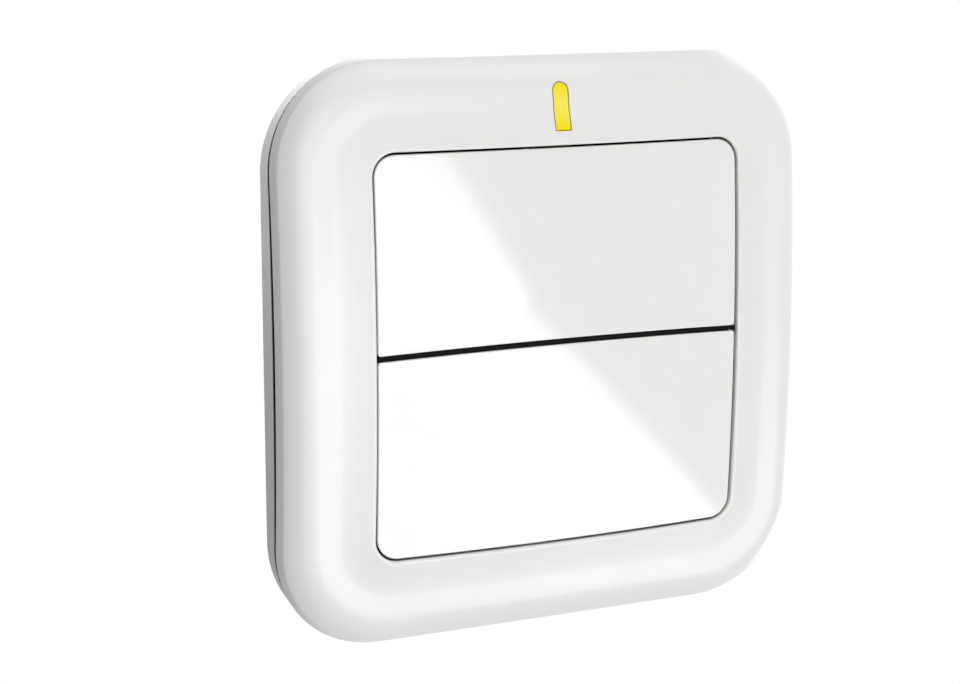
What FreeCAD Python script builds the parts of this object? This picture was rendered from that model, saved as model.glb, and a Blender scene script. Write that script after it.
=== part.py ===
import FreeCAD, Part
import Sketcher
import math
import os
import re

# Flat wireless wall switch with two push keys in a sculpted square frame.
# The origin is the middle of the flat rear face that lies on the wall.
# X runs to the right of somebody facing the switch, Z runs up, and the front faces -Y,
# so a depth in this file is a distance from the wall along -Y. All sizes are millimetres.

SIZES = {
    # outline of the frame and of the wall plate behind it
    "frame_width": 80.0,
    "outline_radius": 15.25,
    "frame_drop": 2.55,
    "rear_inset": 0.6,
    "rim_depth": 5.27,
    "rim_wall": 1.6,
    "shadow_gap": 0.55,
    "plate_floor": 1.4,
    "spigot_wall": 1.1,
    "spigot_clear": 0.15,
    "spigot_rise": 0.1,
    # section of the front frame
    "band_depth": 1.45,
    "band_inset": 0.55,
    "shoulder_share": 0.3724,
    "shoulder_rise": 2.4,
    "shoulder_power": 2.2,
    "cove_share": 0.6434,
    "cove_power": 1.35,
    "frame_wall": 1.5,
    "opening_width": 55.0,
    "opening_radius": 3.25,
    "lip_rise": 0.45,
    "lip_round": 0.35,
    "skirt_wall": 1.2,
    "skirt_depth": 8.0,
    "frame_crown": 1.2,
    "crown_power": 4.0,
    # push keys
    "key_depth": 10.15,
    "key_drop": 1.01,
    "key_crown": 1.2,
    "key_gap": 0.3,
    "middle_gap": 0.8,
    "middle_height": 0.9,
    "key_wall": 1.5,
    "key_skirt": 1.2,
    "key_skirt_depth": 7.6,
    "key_edge": 0.25,
    "key_stock": 1.0,
    "key_root": 0.2,
    # key hinges
    "pivot_edge": 4.1,
    "pivot_depth": 5.8,
    "pin_radius": 1.0,
    "pin_clear": 0.05,
    "pin_end_gap": 0.1,
    "lug_radius": 1.7,
    "lug_wall": 1.0,
    "lug_root": 0.5,
    "ear_wall": 1.4,
    "ear_side_gap": 0.3,
    "ear_half": 1.6,
    # stop bar and the hooks that hold the keys back
    "bar_depth": 6.3,
    "bar_thick": 0.6,
    "bar_half_height": 1.5,
    "bar_end": 0.5,
    "foot_gap": 0.2,
    "foot_wall": 0.7,
    "foot_clear": 0.05,
    "hook_width": 2.0,
    "hook_wall": 1.0,
    "hook_gap": 0.3,
    "hook_side_gap": 0.5,
    "hook_nose": 1.4,
    "hook_nose_thick": 0.9,
    "hook_clear": 0.05,
    # chassis
    "chassis_margin": 0.1,
    "chassis_gap": 0.2,
    "chassis_floor": 1.0,
    "chassis_radius": 3.0,
    "chassis_rib": 0.8,
    "chassis_edge": 1.0,
    "boss_margin": 0.5,
    # coin cell and its contacts
    "cell_radius": 10.0,
    "cell_thick": 3.2,
    "cell_rest": 0.1,
    "cell_clear": 0.2,
    "cell_round": 0.3,
    "lid_step": 0.15,
    "lid_inset": 1.2,
    "cell_ring_wall": 1.0,
    "cell_ring_gap": 0.3,
    "contact_thick": 0.2,
    "contact_lift": 0.02,
    "clip_half_width": 2.0,
    "clip_side_gap": 0.4,
    "clip_foot": 3.0,
    "leaf_anchor": 6.0,
    "leaf_bend": 3.0,
    "leaf_tip": 5.0,
    "leaf_tip_gap": 0.05,
    # circuit board
    "board_depth": 5.2,
    "board_thick": 1.0,
    "board_side": 5.5,
    "board_end": 6.5,
    "tongue_half_width": 3.0,
    "tongue_spare": 1.2,
    "screw_side": 2.5,
    "screw_end": 4.0,
    "screw_radius": 0.8,
    "screw_clear": 0.05,
    "screw_length": 3.4,
    "screw_hole_clear": 0.3,
    "pilot_spare": 0.3,
    "head_radius": 1.7,
    "head_thick": 0.9,
    # push switches on the board
    "switch_height": 10.0,
    "switch_size": 5.2,
    "switch_body_thick": 0.85,
    "switch_floor": 0.2,
    "switch_cover_thick": 0.15,
    "cover_tab": 0.8,
    "cover_hole_clear": 0.1,
    "plunger_radius": 1.25,
    "plunger_stand": 0.4,
    "flange_margin": 0.35,
    "flange_thick": 0.2,
    "flange_gap": 0.05,
    "well_margin": 0.5,
    "nose_radius": 1.0,
    "nose_half_width": 2.5,
    "nose_clear": 0.05,
    # window that shows the status light
    "lens_width": 2.45,
    "lens_edge": 2.1,
    "lens_over": 1.3,
    "lens_clear": 0.03,
    "lens_lug_drop": 1.9,
    "lens_lug_height": 1.2,
    "lens_lug_thick": 0.6,
    "lens_lug_side": 0.7,
    "lens_lug_gap": 0.1,
    "lens_stem_share": 0.7,
    "led_rise": 1.6,
    "led_length": 1.6,
    "led_width": 0.8,
    "led_thick": 0.6,
    "led_gap": 0.2,
    # chips on the board, placed from its edges
    "controller_rise": 9.0,
    "controller_size": 5.0,
    "radio_side": 10.0,
    "radio_rise": 11.0,
    "radio_size": 4.0,
    "chip_thick": 0.85,
    "crystal_step": 5.0,
    "crystal_length": 3.2,
    "crystal_width": 2.5,
    "crystal_thick": 0.7,
    "small_length": 1.6,
    "small_width": 0.8,
    "small_thick": 0.5,
    # helical aerial
    "coil_turns": 8.0,
    "coil_pitch": 2.2,
    "coil_radius": 0.6,
    "wire_radius": 0.2,
    "coil_lift": 0.05,
    "coil_rise": 2.4,
    "coil_foot_length": 0.6,
    "coil_foot_width": 0.8,
    "coil_foot_thick": 0.3,
    # frame hooks and their catches on the wall plate
    "snap_place": 18.0,
    "snap_half_width": 3.0,
    "snap_wall": 1.0,
    "snap_nose": 0.6,
    "snap_lead": 0.2,
    "snap_bury": 0.75,
    "catch_depth": 2.9,
    "catch_thick": 0.6,
    "catch_reach": 0.65,
    "snap_clear": 0.1,
    # fixings to the wall
    "box_spacing": 60.0,
    "slot_width": 4.0,
    "slot_length": 7.0,
    "strip_near": 12.0,
    "strip_far": 24.0,
    "strip_reach": 24.0,
    "strip_recess": 0.3,
    # claws that hold the chassis to the wall plate
    "claw_wall": 1.2,
    "claw_half_width": 2.5,
    "claw_place": 14.0,
    "claw_bite": 0.5,
    "claw_thick": 0.7,
    "claw_gap": 0.1,
    "claw_clear": 0.05,
}

# Sizes that follow from those above.
DERIVED = {
    "half_frame": "frame_width / 2",
    "half_opening": "opening_width / 2",
    "frame_bow": "(half_frame ^ 2 + frame_drop ^ 2) / (2 * frame_drop)",
    "rear_edge": "rim_depth + shadow_gap",
    "front_edge": "rear_edge + band_depth",
    "margin_depth": "front_edge + shoulder_rise",
    "under_depth": "margin_depth - frame_wall",
    "lip_depth": "key_depth + lip_rise",
    "shoulder_start": "half_frame - band_inset",
    "shoulder_end": "shoulder_start - shoulder_share * (shoulder_start - half_opening)",
    "lip_start": "half_opening + lip_round",
    "cove_start": "lip_start + cove_share * (shoulder_end - lip_start)",
    "skirt_back": "half_opening + skirt_wall",
    "spigot_outside": "half_frame - rim_wall - spigot_clear",
    "spigot_inside": "spigot_outside - spigot_wall",
    "half_key": "half_opening - key_gap",
    "key_bow": "(half_key ^ 2 + key_drop ^ 2) / (2 * key_drop)",
    "key_round": "(half_key ^ 2 + key_crown ^ 2) / (2 * key_crown)",
    "key_corner": "opening_radius - key_gap",
    "pivot_height": "half_opening - pivot_edge",
    "half_chassis": "half_opening + chassis_margin",
    "chassis_back": "plate_floor + chassis_gap",
    "chassis_front": "chassis_back + chassis_floor",
    "ring_radius": "cell_radius + cell_clear + cell_ring_wall",
    "ear_inside": "half_key - key_skirt - ear_side_gap - ear_wall",
    "board_half_width": "half_opening - board_side",
    "board_half_height": "half_opening - board_end",
    "board_front": "board_depth + board_thick",
    "screw_across": "board_half_width - screw_side",
    "screw_up": "board_half_height - screw_end",
    "bar_half_width": "half_opening - bar_end",
    "foot_place": "board_half_width + foot_gap",
    "hook_place": "foot_place + foot_wall + hook_side_gap",
    "switch_front": "board_front + switch_body_thick",
    "plunger_back": "switch_front - flange_gap - flange_thick",
    "plunger_front": "switch_front + switch_cover_thick + plunger_stand",
    "cell_back": "plate_floor + cell_rest",
    "cell_front": "cell_back + cell_thick",
    "lens_foot": "half_opening + lens_edge",
    "lens_head": "shoulder_end + lens_over",
    "led_height": "lens_foot + led_rise",
    "tongue_top": "led_height + tongue_spare",
    "controller_across": "-board_half_width / 2",
    "controller_up": "board_half_height - controller_rise",
    "radio_across": "board_half_width - radio_side",
    "radio_up": "radio_rise - board_half_height",
    "coil_up": "coil_rise - board_half_height",
    "coil_front": "board_front + coil_lift + wire_radius + coil_radius",
}

V = FreeCAD.Vector
doc = FreeCAD.newDocument("WallSwitch")
sheet = doc.addObject("Spreadsheet::Sheet", "Sizes")
CELLS = {alias: "%g" % number for alias, number in SIZES.items()}
CELLS.update({alias: "=" + formula for alias, formula in DERIVED.items()})
for row, (alias, content) in enumerate(CELLS.items(), 1):
    sheet.set("A%d" % row, alias)
    sheet.set("B%d" % row, content)
    sheet.setAlias("B%d" % row, alias)
doc.recompute()

NODES = []


def tie(text):
    """An expression for the sheet: bare size names get the name of the sheet."""
    return re.sub(r"[a-z][a-z_]*", lambda word: ("Sizes." if word.group() in CELLS else "")
                  + word.group(), str(text))


def value(text):
    """The number that an expression has now."""
    return float(sheet.evalExpression(tie(text)))


def bind(thing, field, text):
    thing.setExpression(field, tie(text))


def body(name):
    made = doc.addObject("PartDesign::Body", name)
    made.Label = name
    NODES.append(made)
    return made


def draw(owner, role, offset="0"):
    """An empty sketch on one of the body's own planes, moved along its normal."""
    made = owner.newObject("Sketcher::SketchObject", owner.Name + "_sketch")
    plane = [item for item in owner.Origin.OriginFeatures if item.Role == role][0]
    made.AttachmentSupport = (plane, [""])
    made.MapMode = "FlatFace"
    bind(made, "AttachmentOffset.Base.z", offset)
    return made


def limit(sketch, kind, geometry, end, text):
    index = sketch.addConstraint(Sketcher.Constraint(kind, -1, 1, geometry, end, value(text)))
    bind(sketch, "Constraints[%d]" % index, text)


def polygon(sketch, corners, bows=None):
    """Closed outline through the corners; bows gives the centre of an arc between two of them."""
    bows = bows or {}
    points = [V(value(across), value(up), 0) for across, up in corners]
    first = sketch.GeometryCount
    count = len(points)
    for number in range(count):
        start, stop = points[number], points[(number + 1) % count]
        if number in bows:
            middle = V(value(bows[number][0]), value(bows[number][1]), 0)
            radius = (start - middle).Length
            begin = math.atan2(start.y - middle.y, start.x - middle.x)
            end = math.atan2(stop.y - middle.y, stop.x - middle.x)
            turn = (end - begin) % (2 * math.pi)
            whole = Part.Circle(middle, V(0, 0, 1), radius)
            if turn > math.pi:
                begin, turn = end, 2 * math.pi - turn
            sketch.addGeometry(Part.ArcOfCircle(whole, begin, begin + turn), False)
        else:
            sketch.addGeometry(Part.LineSegment(start, stop), False)

    def ends(number):
        """Which end of a piece lies at its first and at its last corner."""
        if number not in bows:
            return 1, 2
        edge = sketch.Geometry[first + number]
        near = edge.StartPoint.distanceToPoint(points[number])
        return (1, 2) if near < edge.EndPoint.distanceToPoint(points[number]) else (2, 1)

    for number in range(count):
        after = (number + 1) % count
        sketch.addConstraint(Sketcher.Constraint("Coincident", first + number, ends(number)[1],
                                                 first + after, ends(after)[0]))
    for number, (across, up) in enumerate(corners):
        geometry, end = first + number, ends(number)[0]
        middle = bows.get((number - 1) % count)
        reach = points[number] - V(value(middle[0]), value(middle[1]), 0) if middle else None
        if middle is None or abs(reach.x) < abs(reach.y):
            limit(sketch, "DistanceX", geometry, end, across)
        if middle is None or abs(reach.x) >= abs(reach.y):
            limit(sketch, "DistanceY", geometry, end, up)
    for number, (across, up) in bows.items():
        limit(sketch, "DistanceX", first + number, 3, across)
        limit(sketch, "DistanceY", first + number, 3, up)


def box_outline(sketch, left, low, right, high):
    polygon(sketch, [(left, low), (right, low), (right, high), (left, high)])


def circle(sketch, across, up, radius):
    index = sketch.GeometryCount
    sketch.addGeometry(Part.Circle(V(value(across), value(up), 0), V(0, 0, 1), value(radius)), False)
    limit(sketch, "DistanceX", index, 3, across)
    limit(sketch, "DistanceY", index, 3, up)
    fixed = sketch.addConstraint(Sketcher.Constraint("Radius", index, value(radius)))
    bind(sketch, "Constraints[%d]" % fixed, radius)


def rounded_outline(sketch, left, low, right, high, radius):
    """Rectangle whose corners are quarter circles, each tangent to its two sides."""
    x0, z0, x1, z1, turn = (value(text) for text in (left, low, right, high, radius))
    sides = [((x1, z0 + turn), (x1, z1 - turn)), ((x1 - turn, z1), (x0 + turn, z1)),
             ((x0, z1 - turn), (x0, z0 + turn)), ((x0 + turn, z0), (x1 - turn, z0))]
    centres = [(x1 - turn, z1 - turn), (x0 + turn, z1 - turn),
               (x0 + turn, z0 + turn), (x1 - turn, z0 + turn)]
    first = sketch.GeometryCount
    for number in range(4):
        start, stop = sides[number]
        sketch.addGeometry(Part.LineSegment(V(*start, 0), V(*stop, 0)), False)
        quarter = Part.Circle(V(*centres[number], 0), V(0, 0, 1), turn)
        begin = number * math.pi / 2
        sketch.addGeometry(Part.ArcOfCircle(quarter, begin, begin + math.pi / 2), False)
    for number in range(4):
        line, arc, after = first + 2 * number, first + 2 * number + 1, first + (2 * number + 2) % 8
        sketch.addConstraint(Sketcher.Constraint("Tangent", line, 2, arc, 1))
        sketch.addConstraint(Sketcher.Constraint("Tangent", arc, 2, after, 1))
        sketch.addConstraint(Sketcher.Constraint("Horizontal" if number % 2 else "Vertical", line))
        if number:
            sketch.addConstraint(Sketcher.Constraint("Equal", first + 1, arc))
    fixed = sketch.addConstraint(Sketcher.Constraint("Radius", first + 1, turn))
    bind(sketch, "Constraints[%d]" % fixed, radius)
    limit(sketch, "DistanceX", first, 1, right)
    limit(sketch, "DistanceY", first + 2, 1, high)
    limit(sketch, "DistanceX", first + 4, 1, left)
    limit(sketch, "DistanceY", first + 6, 1, low)


def slot_outline(sketch, across, up, length, width, upright):
    """Slot with round ends, centred on a point."""
    run = "(%s - %s) / 2" % (length, width)
    reach, half = value(run), value(width) / 2
    first = sketch.GeometryCount
    along = V(0, 1, 0) if upright else V(1, 0, 0)
    side = V(-along.y, along.x, 0)
    centre = V(value(across), value(up), 0)
    far, near = centre + along * reach, centre - along * reach
    start = 0 if upright else -math.pi / 2
    sketch.addGeometry(Part.LineSegment(near - side * half, far - side * half), False)
    head, tail = Part.Circle(far, V(0, 0, 1), half), Part.Circle(near, V(0, 0, 1), half)
    sketch.addGeometry(Part.ArcOfCircle(head, start, start + math.pi), False)
    sketch.addGeometry(Part.LineSegment(far + side * half, near + side * half), False)
    sketch.addGeometry(Part.ArcOfCircle(tail, start + math.pi, start + 2 * math.pi), False)
    for number in range(4):
        sketch.addConstraint(Sketcher.Constraint("Tangent", first + number, 2, first + (number + 1) % 4, 1))
    sketch.addConstraint(Sketcher.Constraint("Equal", first + 1, first + 3))
    fixed = sketch.addConstraint(Sketcher.Constraint("Radius", first + 1, half))
    bind(sketch, "Constraints[%d]" % fixed, "%s / 2" % width)
    for end, sign in ((first + 1, "+"), (first + 3, "-")):
        limit(sketch, "DistanceX", end, 3, across if upright else "%s %s %s" % (across, sign, run))
        limit(sketch, "DistanceY", end, 3, "%s %s %s" % (up, sign, run) if upright else up)


def feature(owner, kind, sketch, length, back=False, both=False):
    made = owner.newObject("PartDesign::" + kind, owner.Name + "_" + kind.lower())
    made.Profile = sketch
    made.Reversed = back
    if both:
        made.SideType = "Symmetric"
    bind(made, "Length", length)
    sketch.Visibility = False
    return made


def pad(owner, sketch, length, back=False, both=False):
    return feature(owner, "Pad", sketch, length, back, both)


def cut(owner, sketch, length, back=False, both=False):
    """Pocket that has to take material away."""
    doc.recompute()
    before = owner.Shape.Volume
    made = feature(owner, "Pocket", sketch, length, back, both)
    doc.recompute()
    if owner.Shape.Volume > before - 1e-6:
        raise ValueError("a pocket of %s cuts nothing" % owner.Name)
    return made


def ease_edges(owner, kind, amount, chosen):
    """Fillet or chamfer on the edges of the finished form that the test picks."""
    doc.recompute()
    names = ["Edge%d" % number for number, edge in enumerate(owner.Shape.Edges, 1) if chosen(edge)]
    before = owner.Tip
    made = owner.newObject("PartDesign::" + kind, owner.Name + "_" + kind.lower())
    made.Base = (before, names)
    bind(made, "Radius" if kind == "Fillet" else "Size", amount)


def sag(height, bow):
    """How far a bowed edge lies behind its crest at a height."""
    return bow - math.sqrt(bow * bow - height * height)


# Wall plate. A drafted square tray: flat floor on the wall, an outer wall whose front edge is
# bowed, and inside it a thinner spigot that reaches past the shadow gap into the front frame.
wall_plate = body("wall_plate")


def square(owner, reach, radius, depth="0"):
    """Sketch of a rounded square around the middle of the switch."""
    sketch = draw(owner, "XZ_Plane", depth)
    rounded_outline(sketch, "-(%s)" % reach, "-(%s)" % reach, reach, reach, radius)
    return sketch


rear = square(wall_plate, "half_frame - rear_inset", "outline_radius - rear_inset")
front = square(wall_plate, "half_frame", "outline_radius", "rim_depth")
tray = wall_plate.newObject("PartDesign::AdditiveLoft", "plate_wall")
tray.Profile = rear
tray.Sections = [front]
tray.Ruled = True


def cut_ahead(owner, crest, bow, reach):
    """Cut away everything in front of a bowed edge, seen from the side."""
    sketch = draw(owner, "YZ_Plane")
    edge = "(%s - (%s) - sqrt(%s ^ 2 - (%s) ^ 2))" % (bow, crest, bow, reach)
    ahead = "-2 * key_depth"
    polygon(sketch, [(edge, "-(%s)" % reach), (edge, reach), (ahead, reach), (ahead, "-(%s)" % reach)],
            {0: ("%s - (%s)" % (bow, crest), "0")})
    cut(owner, sketch, "2 * frame_width", both=True)


past_side = "half_frame + rim_wall"
cut_ahead(wall_plate, "rim_depth", "frame_bow", past_side)
pad(wall_plate, square(wall_plate, "spigot_outside", "outline_radius - rim_wall - spigot_clear",
                       "plate_floor / 2"), "key_depth")
cut_ahead(wall_plate, "rear_edge + spigot_rise", "frame_bow", past_side)
cut(wall_plate, square(wall_plate, "spigot_inside", "outline_radius - rim_wall - spigot_clear - spigot_wall",
                       "plate_floor"), "key_depth", back=True)

# Slotted holes for the screws of a wall box, across and upright, through the floor.
slots = draw(wall_plate, "XZ_Plane", "plate_floor")
for sign in ("", "-"):
    slot_outline(slots, sign + "box_spacing / 2", "0", "slot_length", "slot_width", False)
    slot_outline(slots, "0", sign + "box_spacing / 2", "slot_length", "slot_width", True)
cut(wall_plate, slots, "2 * plate_floor")

# Shallow recesses in the rear face, where adhesive strips may go.
strips = draw(wall_plate, "XZ_Plane")
for low, high in (("strip_near", "strip_far"), ("-strip_far", "-strip_near")):
    box_outline(strips, "-strip_reach", low, "strip_reach", high)
cut(wall_plate, strips, "strip_recess", back=True)

# Catches on the inner wall, which the hooks of the front frame snap behind: two on each side.
for sign in ("", "-"):
    near, far = sign + "(spigot_inside - catch_reach)", sign + "(spigot_inside + spigot_wall / 2)"
    for place in ("snap_place", "-snap_place"):
        low, high = place + " - snap_half_width", place + " + snap_half_width"
        for corners in ((near, low, far, high), (low, near, high, far)):
            catch = draw(wall_plate, "XZ_Plane", "catch_depth")
            box_outline(catch, *corners)
            pad(wall_plate, catch, "catch_thick")

# Claws that clip over the edge of the chassis.
claw_seat = "(chassis_front + chassis_rib + claw_clear)"
for sign in ("", "-"):
    near, far = sign + "(half_chassis + claw_gap)", sign + "(half_chassis + claw_gap + claw_wall)"
    tip = sign + "(half_chassis - claw_bite)"
    for place in ("claw_place", "-claw_place"):
        low, high = place + " - claw_half_width", place + " + claw_half_width"
        claw = draw(wall_plate, "XZ_Plane", "plate_floor / 2")
        box_outline(claw, near, low, far, high)
        pad(wall_plate, claw, claw_seat + " + claw_thick - plate_floor / 2")
        claw = draw(wall_plate, "XZ_Plane", claw_seat)
        box_outline(claw, tip, low, far, high)
        pad(wall_plate, claw, "claw_thick")

# Chassis. A dark moulded carrier: a flat floor with a window and a ring wall for the cell,
# four bosses for the board, four ears for the key pins and two sockets for the stop bar.
chassis = body("chassis")
pad(chassis, square(chassis, "half_chassis", "chassis_radius", "chassis_back"), "chassis_floor + chassis_rib")
cut(chassis, square(chassis, "half_chassis - chassis_edge", "chassis_radius - chassis_edge", "chassis_front"),
    "chassis_rib", back=True)
ring = draw(chassis, "XZ_Plane", "chassis_front")
circle(ring, "0", "0", "ring_radius")
pad(chassis, ring, "board_depth - cell_ring_gap - chassis_front")
for sign in ("", "-"):
    for other in ("", "-"):
        boss = draw(chassis, "XZ_Plane", "chassis_front")
        circle(boss, sign + "screw_across", other + "screw_up", "head_radius + boss_margin")
        pad(chassis, boss, "board_depth - chassis_front")
        pilot = draw(chassis, "XZ_Plane", "board_depth")
        circle(pilot, sign + "screw_across", other + "screw_up", "screw_radius + screw_clear")
        cut(chassis, pilot, "screw_length - board_thick + pilot_spare")
window = draw(chassis, "XZ_Plane", "board_depth")
circle(window, "0", "0", "cell_radius + cell_clear")
cut(chassis, window, "board_depth")
notch = draw(chassis, "XZ_Plane", "board_depth")
box_outline(notch, "cell_radius / 2", "-(clip_half_width + clip_side_gap)",
            "ring_radius + clip_side_gap", "clip_half_width + clip_side_gap")
cut(chassis, notch, "board_depth - chassis_front")
for sign in ("", "-"):
    for up in ("pivot_height", "-pivot_height"):
        ear = draw(chassis, "YZ_Plane", "%sear_inside" % sign)
        deep, near = "-(chassis_front - chassis_floor / 2)", "-pivot_depth"
        polygon(ear, [(deep, up + " - ear_half"), (deep, up + " + ear_half"),
                      (near, up + " + ear_half"), (near, up + " - ear_half")], {2: (near, up)})
        pad(chassis, ear, "ear_wall", back=sign == "-")
        bore = draw(chassis, "YZ_Plane", "%sear_inside" % sign)
        circle(bore, "-pivot_depth", up, "pin_radius + pin_clear")
        cut(chassis, bore, "ear_wall", back=sign == "")
sockets = draw(chassis, "XZ_Plane", "chassis_front")
socket_low = "middle_height - bar_half_height - foot_clear"
socket_high = "middle_height + bar_half_height + foot_clear"
for sign in ("", "-"):
    box_outline(sockets, sign + "(foot_place - foot_clear)", socket_low,
                sign + "(foot_place + foot_wall + foot_clear)", socket_high)
cut(chassis, sockets, "2 * chassis_floor")

# Stop bar. It spans the board behind the gap between the keys, plugs into the chassis with two
# feet, keeps light from the gap and holds the hooks of both keys.
key_stop_bar = body("key_stop_bar")
low, high = "middle_height - bar_half_height", "middle_height + bar_half_height"
span = draw(key_stop_bar, "XZ_Plane", "bar_depth")
box_outline(span, "-bar_half_width", low, "bar_half_width", high)
pad(key_stop_bar, span, "bar_thick")
for sign in ("", "-"):
    foot = draw(key_stop_bar, "XZ_Plane", "chassis_back")
    box_outline(foot, sign + "foot_place", low, sign + "(foot_place + foot_wall)", high)
    pad(key_stop_bar, foot, "bar_depth + bar_thick / 2 - chassis_back")


def key_face(point):
    """Depth of the keys' domed face at a point of it."""
    front = value("key_bow") + value("key_crown") - sag(point.x, value("key_round"))
    return math.sqrt(front ** 2 - point.z ** 2) - value("key_bow") + value("key_depth")


def dome_ahead(owner):
    """Cut away everything in front of the keys' face: an arc across, swung about a line that
    lies as far behind the wall as the bow from top to bottom asks."""
    sketch = draw(owner, "XY_Plane")
    bind(sketch, "AttachmentOffset.Base.y", "key_bow - key_depth")
    crest = "(key_bow + key_crown)"
    edge = "key_round - %s - sqrt(key_round ^ 2 - half_opening ^ 2)" % crest
    ahead = "-(key_bow + key_depth)"
    polygon(sketch, [("-half_opening", edge), ("half_opening", edge), ("half_opening", ahead),
                     ("-half_opening", ahead)], {0: ("0", "key_round - " + crest)})
    groove = owner.newObject("PartDesign::Groove", owner.Name + "_groove")
    groove.Profile = sketch
    groove.ReferenceAxis = (sketch, ["H_Axis"])
    groove.Midplane = True
    bind(groove, "Angle", "4 * asin(half_opening / key_bow)")
    sketch.Visibility = False


# Keys. Each is a thin domed cap with skirts, two lugs with inward pins at its outer end, two
# hooks at its inner end and a round nose that meets the push switch.
def make_key(name, sign):
    """Upper key with sign 1 and lower key with sign -1."""
    key = body(name)
    outer = "%d * half_key" % sign
    inner = "(middle_height + %d * middle_gap / 2)" % sign
    outline = draw(key, "XZ_Plane", "key_skirt_depth")
    low, high = (inner, outer) if sign > 0 else (outer, inner)
    box_outline(outline, "-half_key", low, "half_key", high)
    pad(key, outline, "key_depth + key_crown + key_stock - key_skirt_depth")

    def outer_corner(edge):
        """The two short corner edges farthest from the middle gap."""
        box = edge.BoundBox
        upright = box.XLength < 1e-6 and box.ZLength < 1e-6
        return upright and abs(box.ZMin - value(outer)) < 1e-3
    ease_edges(key, "Fillet", "key_corner", outer_corner)
    dome_ahead(key)

    def face_edge(edge):
        """Edges that lie all along on the domed face."""
        span = edge.LastParameter - edge.FirstParameter
        points = [edge.valueAt(edge.FirstParameter + part * span) for part in (0.0, 0.37, 1.0)]
        return all(abs(point.y + key_face(point)) < 1e-3 for point in points)
    ease_edges(key, "Chamfer", "key_edge", face_edge)

    inside = draw(key, "YZ_Plane")
    start, stop = "%s + %d * key_skirt" % (inner, sign), "%s - %d * key_skirt" % (outer, sign)
    bow, centre = "(key_bow - key_wall)", "(key_bow - key_depth)"
    polygon(inside, [("%s - sqrt(%s ^ 2 - (%s) ^ 2)" % (centre, bow, start), start),
                     ("%s - sqrt(%s ^ 2 - (%s) ^ 2)" % (centre, bow, stop), stop),
                     ("0", stop), ("0", start)], {0: (centre, "0")})
    cut(key, inside, "2 * (half_key - key_skirt)", both=True)

    root = "-(key_depth - key_wall + key_root)"
    up = "%d * pivot_height" % sign
    lug_back = "-(key_skirt_depth + lug_root)"
    shank = "(middle_height + %d * (bar_half_height + hook_gap))" % sign
    tip = "%s - %d * hook_nose" % (shank, sign)
    heel = "%s + %d * hook_wall" % (shank, sign)
    seat = "-(bar_depth - hook_clear)"
    end = "-(bar_depth - hook_clear - hook_nose_thick)"
    for hand in ("", "-"):
        lug = draw(key, "YZ_Plane", "%s(half_key - key_skirt)" % hand)
        polygon(lug, [(lug_back, up + " + lug_radius"), (lug_back, up + " - lug_radius"),
                      ("-pivot_depth", up + " - lug_radius"), ("-pivot_depth", up + " + lug_radius")],
                {2: ("-pivot_depth", up)})
        pad(key, lug, "lug_wall", back=hand == "-")
        pin = draw(key, "YZ_Plane", "%s(half_key - key_skirt / 2)" % hand)
        circle(pin, "-pivot_depth", up, "pin_radius")
        pad(key, pin, "key_skirt / 2 + ear_side_gap + ear_wall - pin_end_gap", back=hand == "")
        hook = draw(key, "YZ_Plane", "%shook_place" % hand)
        polygon(hook, [(root, heel), (root, shank), (seat, shank), (seat, tip), (end, tip), (end, heel)])
        pad(key, hook, "hook_width", back=hand == "-")
    nose = draw(key, "YZ_Plane")
    place = "%d * switch_height" % sign
    middle = "-(plunger_front + nose_clear + nose_radius)"
    polygon(nose, [(root, place + " + nose_radius"), (root, place + " - nose_radius"),
                   (middle, place + " - nose_radius"), (middle, place + " + nose_radius")],
            {2: (middle, place)})
    pad(key, nose, "2 * nose_half_width", both=True)


make_key("upper_key", 1)
make_key("lower_key", -1)

# Front frame. One moulded skin of even wall: side band, round shoulder, flat margin, cove and
# lip around the opening, and a skirt behind it. Each point of its closed section is the half
# width of a rounded square and the depth of that square's crest. The squares all lie on the same
# bow from top to bottom, and their upper and lower sides also stand a little forward in the
# middle. Neighbouring squares are joined by four side and four corner faces.
size = {alias: float(sheet.get(alias)) for alias in CELLS}
CIRCLE_HANDLE = 0.5523
LOOP_POLES = 24


def crown(reach, across):
    """How far the upper or lower side of a square stands forward at a place along it."""
    share = (reach - size["half_opening"]) / (size["half_frame"] - size["half_opening"])
    return size["frame_crown"] * (1 - share ** size["crown_power"]) * (1 - (across / reach) ** 2)


def loop(reach, depth):
    """Poles of a rounded square on the bow, three for each of its four sides and corners."""
    share = (reach - size["half_opening"]) / (size["half_frame"] - size["half_opening"])
    turn = size["opening_radius"] + share * (size["outline_radius"] - size["opening_radius"])
    flat = reach - turn
    handle = CIRCLE_HANDLE * turn
    bow = size["frame_bow"]
    drop, lowest = sag(flat, bow), sag(reach, bow)
    slope = flat / (bow - drop)
    third = flat / 3
    lowest -= crown(reach, flat)
    lean = 2 * flat / reach ** 2 * crown(reach, 0)
    quarter = [(reach, drop - slope * 2 * third, third), (reach, drop, flat),
               (reach, drop + slope * handle, flat + handle),
               (flat + handle, lowest + lean * handle, reach),
               (flat, lowest, reach), (third, lowest - lean * 2 * third, reach)]
    poles = []
    for right, upper in ((1, 1), (-1, 1), (-1, -1), (1, -1)):
        turned = [V(right * x, behind - depth, upper * z) for x, behind, z in quarter]
        poles += turned if right == upper else turned[::-1]
    return poles


def faces_between(near, far):
    """The eight faces between two of the rounded squares."""
    rows = [loop(*near), loop(*far)]
    faces = []
    for first in range(1, LOOP_POLES, 3):
        patch = Part.BezierSurface()
        patch.increase(3, 1)
        for row, poles in enumerate(rows, 1):
            for column in range(4):
                patch.setPole(column + 1, row, poles[(first + column) % LOOP_POLES])
        faces.append(patch.toShape())
    return faces


def run(start, end, curve, steps):
    """Points of the section from one point to another along a curve that goes from 0 to 1."""
    shares = [number / steps for number in range(steps + 1)]
    return [(start[0] + (end[0] - start[0]) * share, start[1] + (end[1] - start[1]) * curve(share))
            for share in shares]


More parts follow.
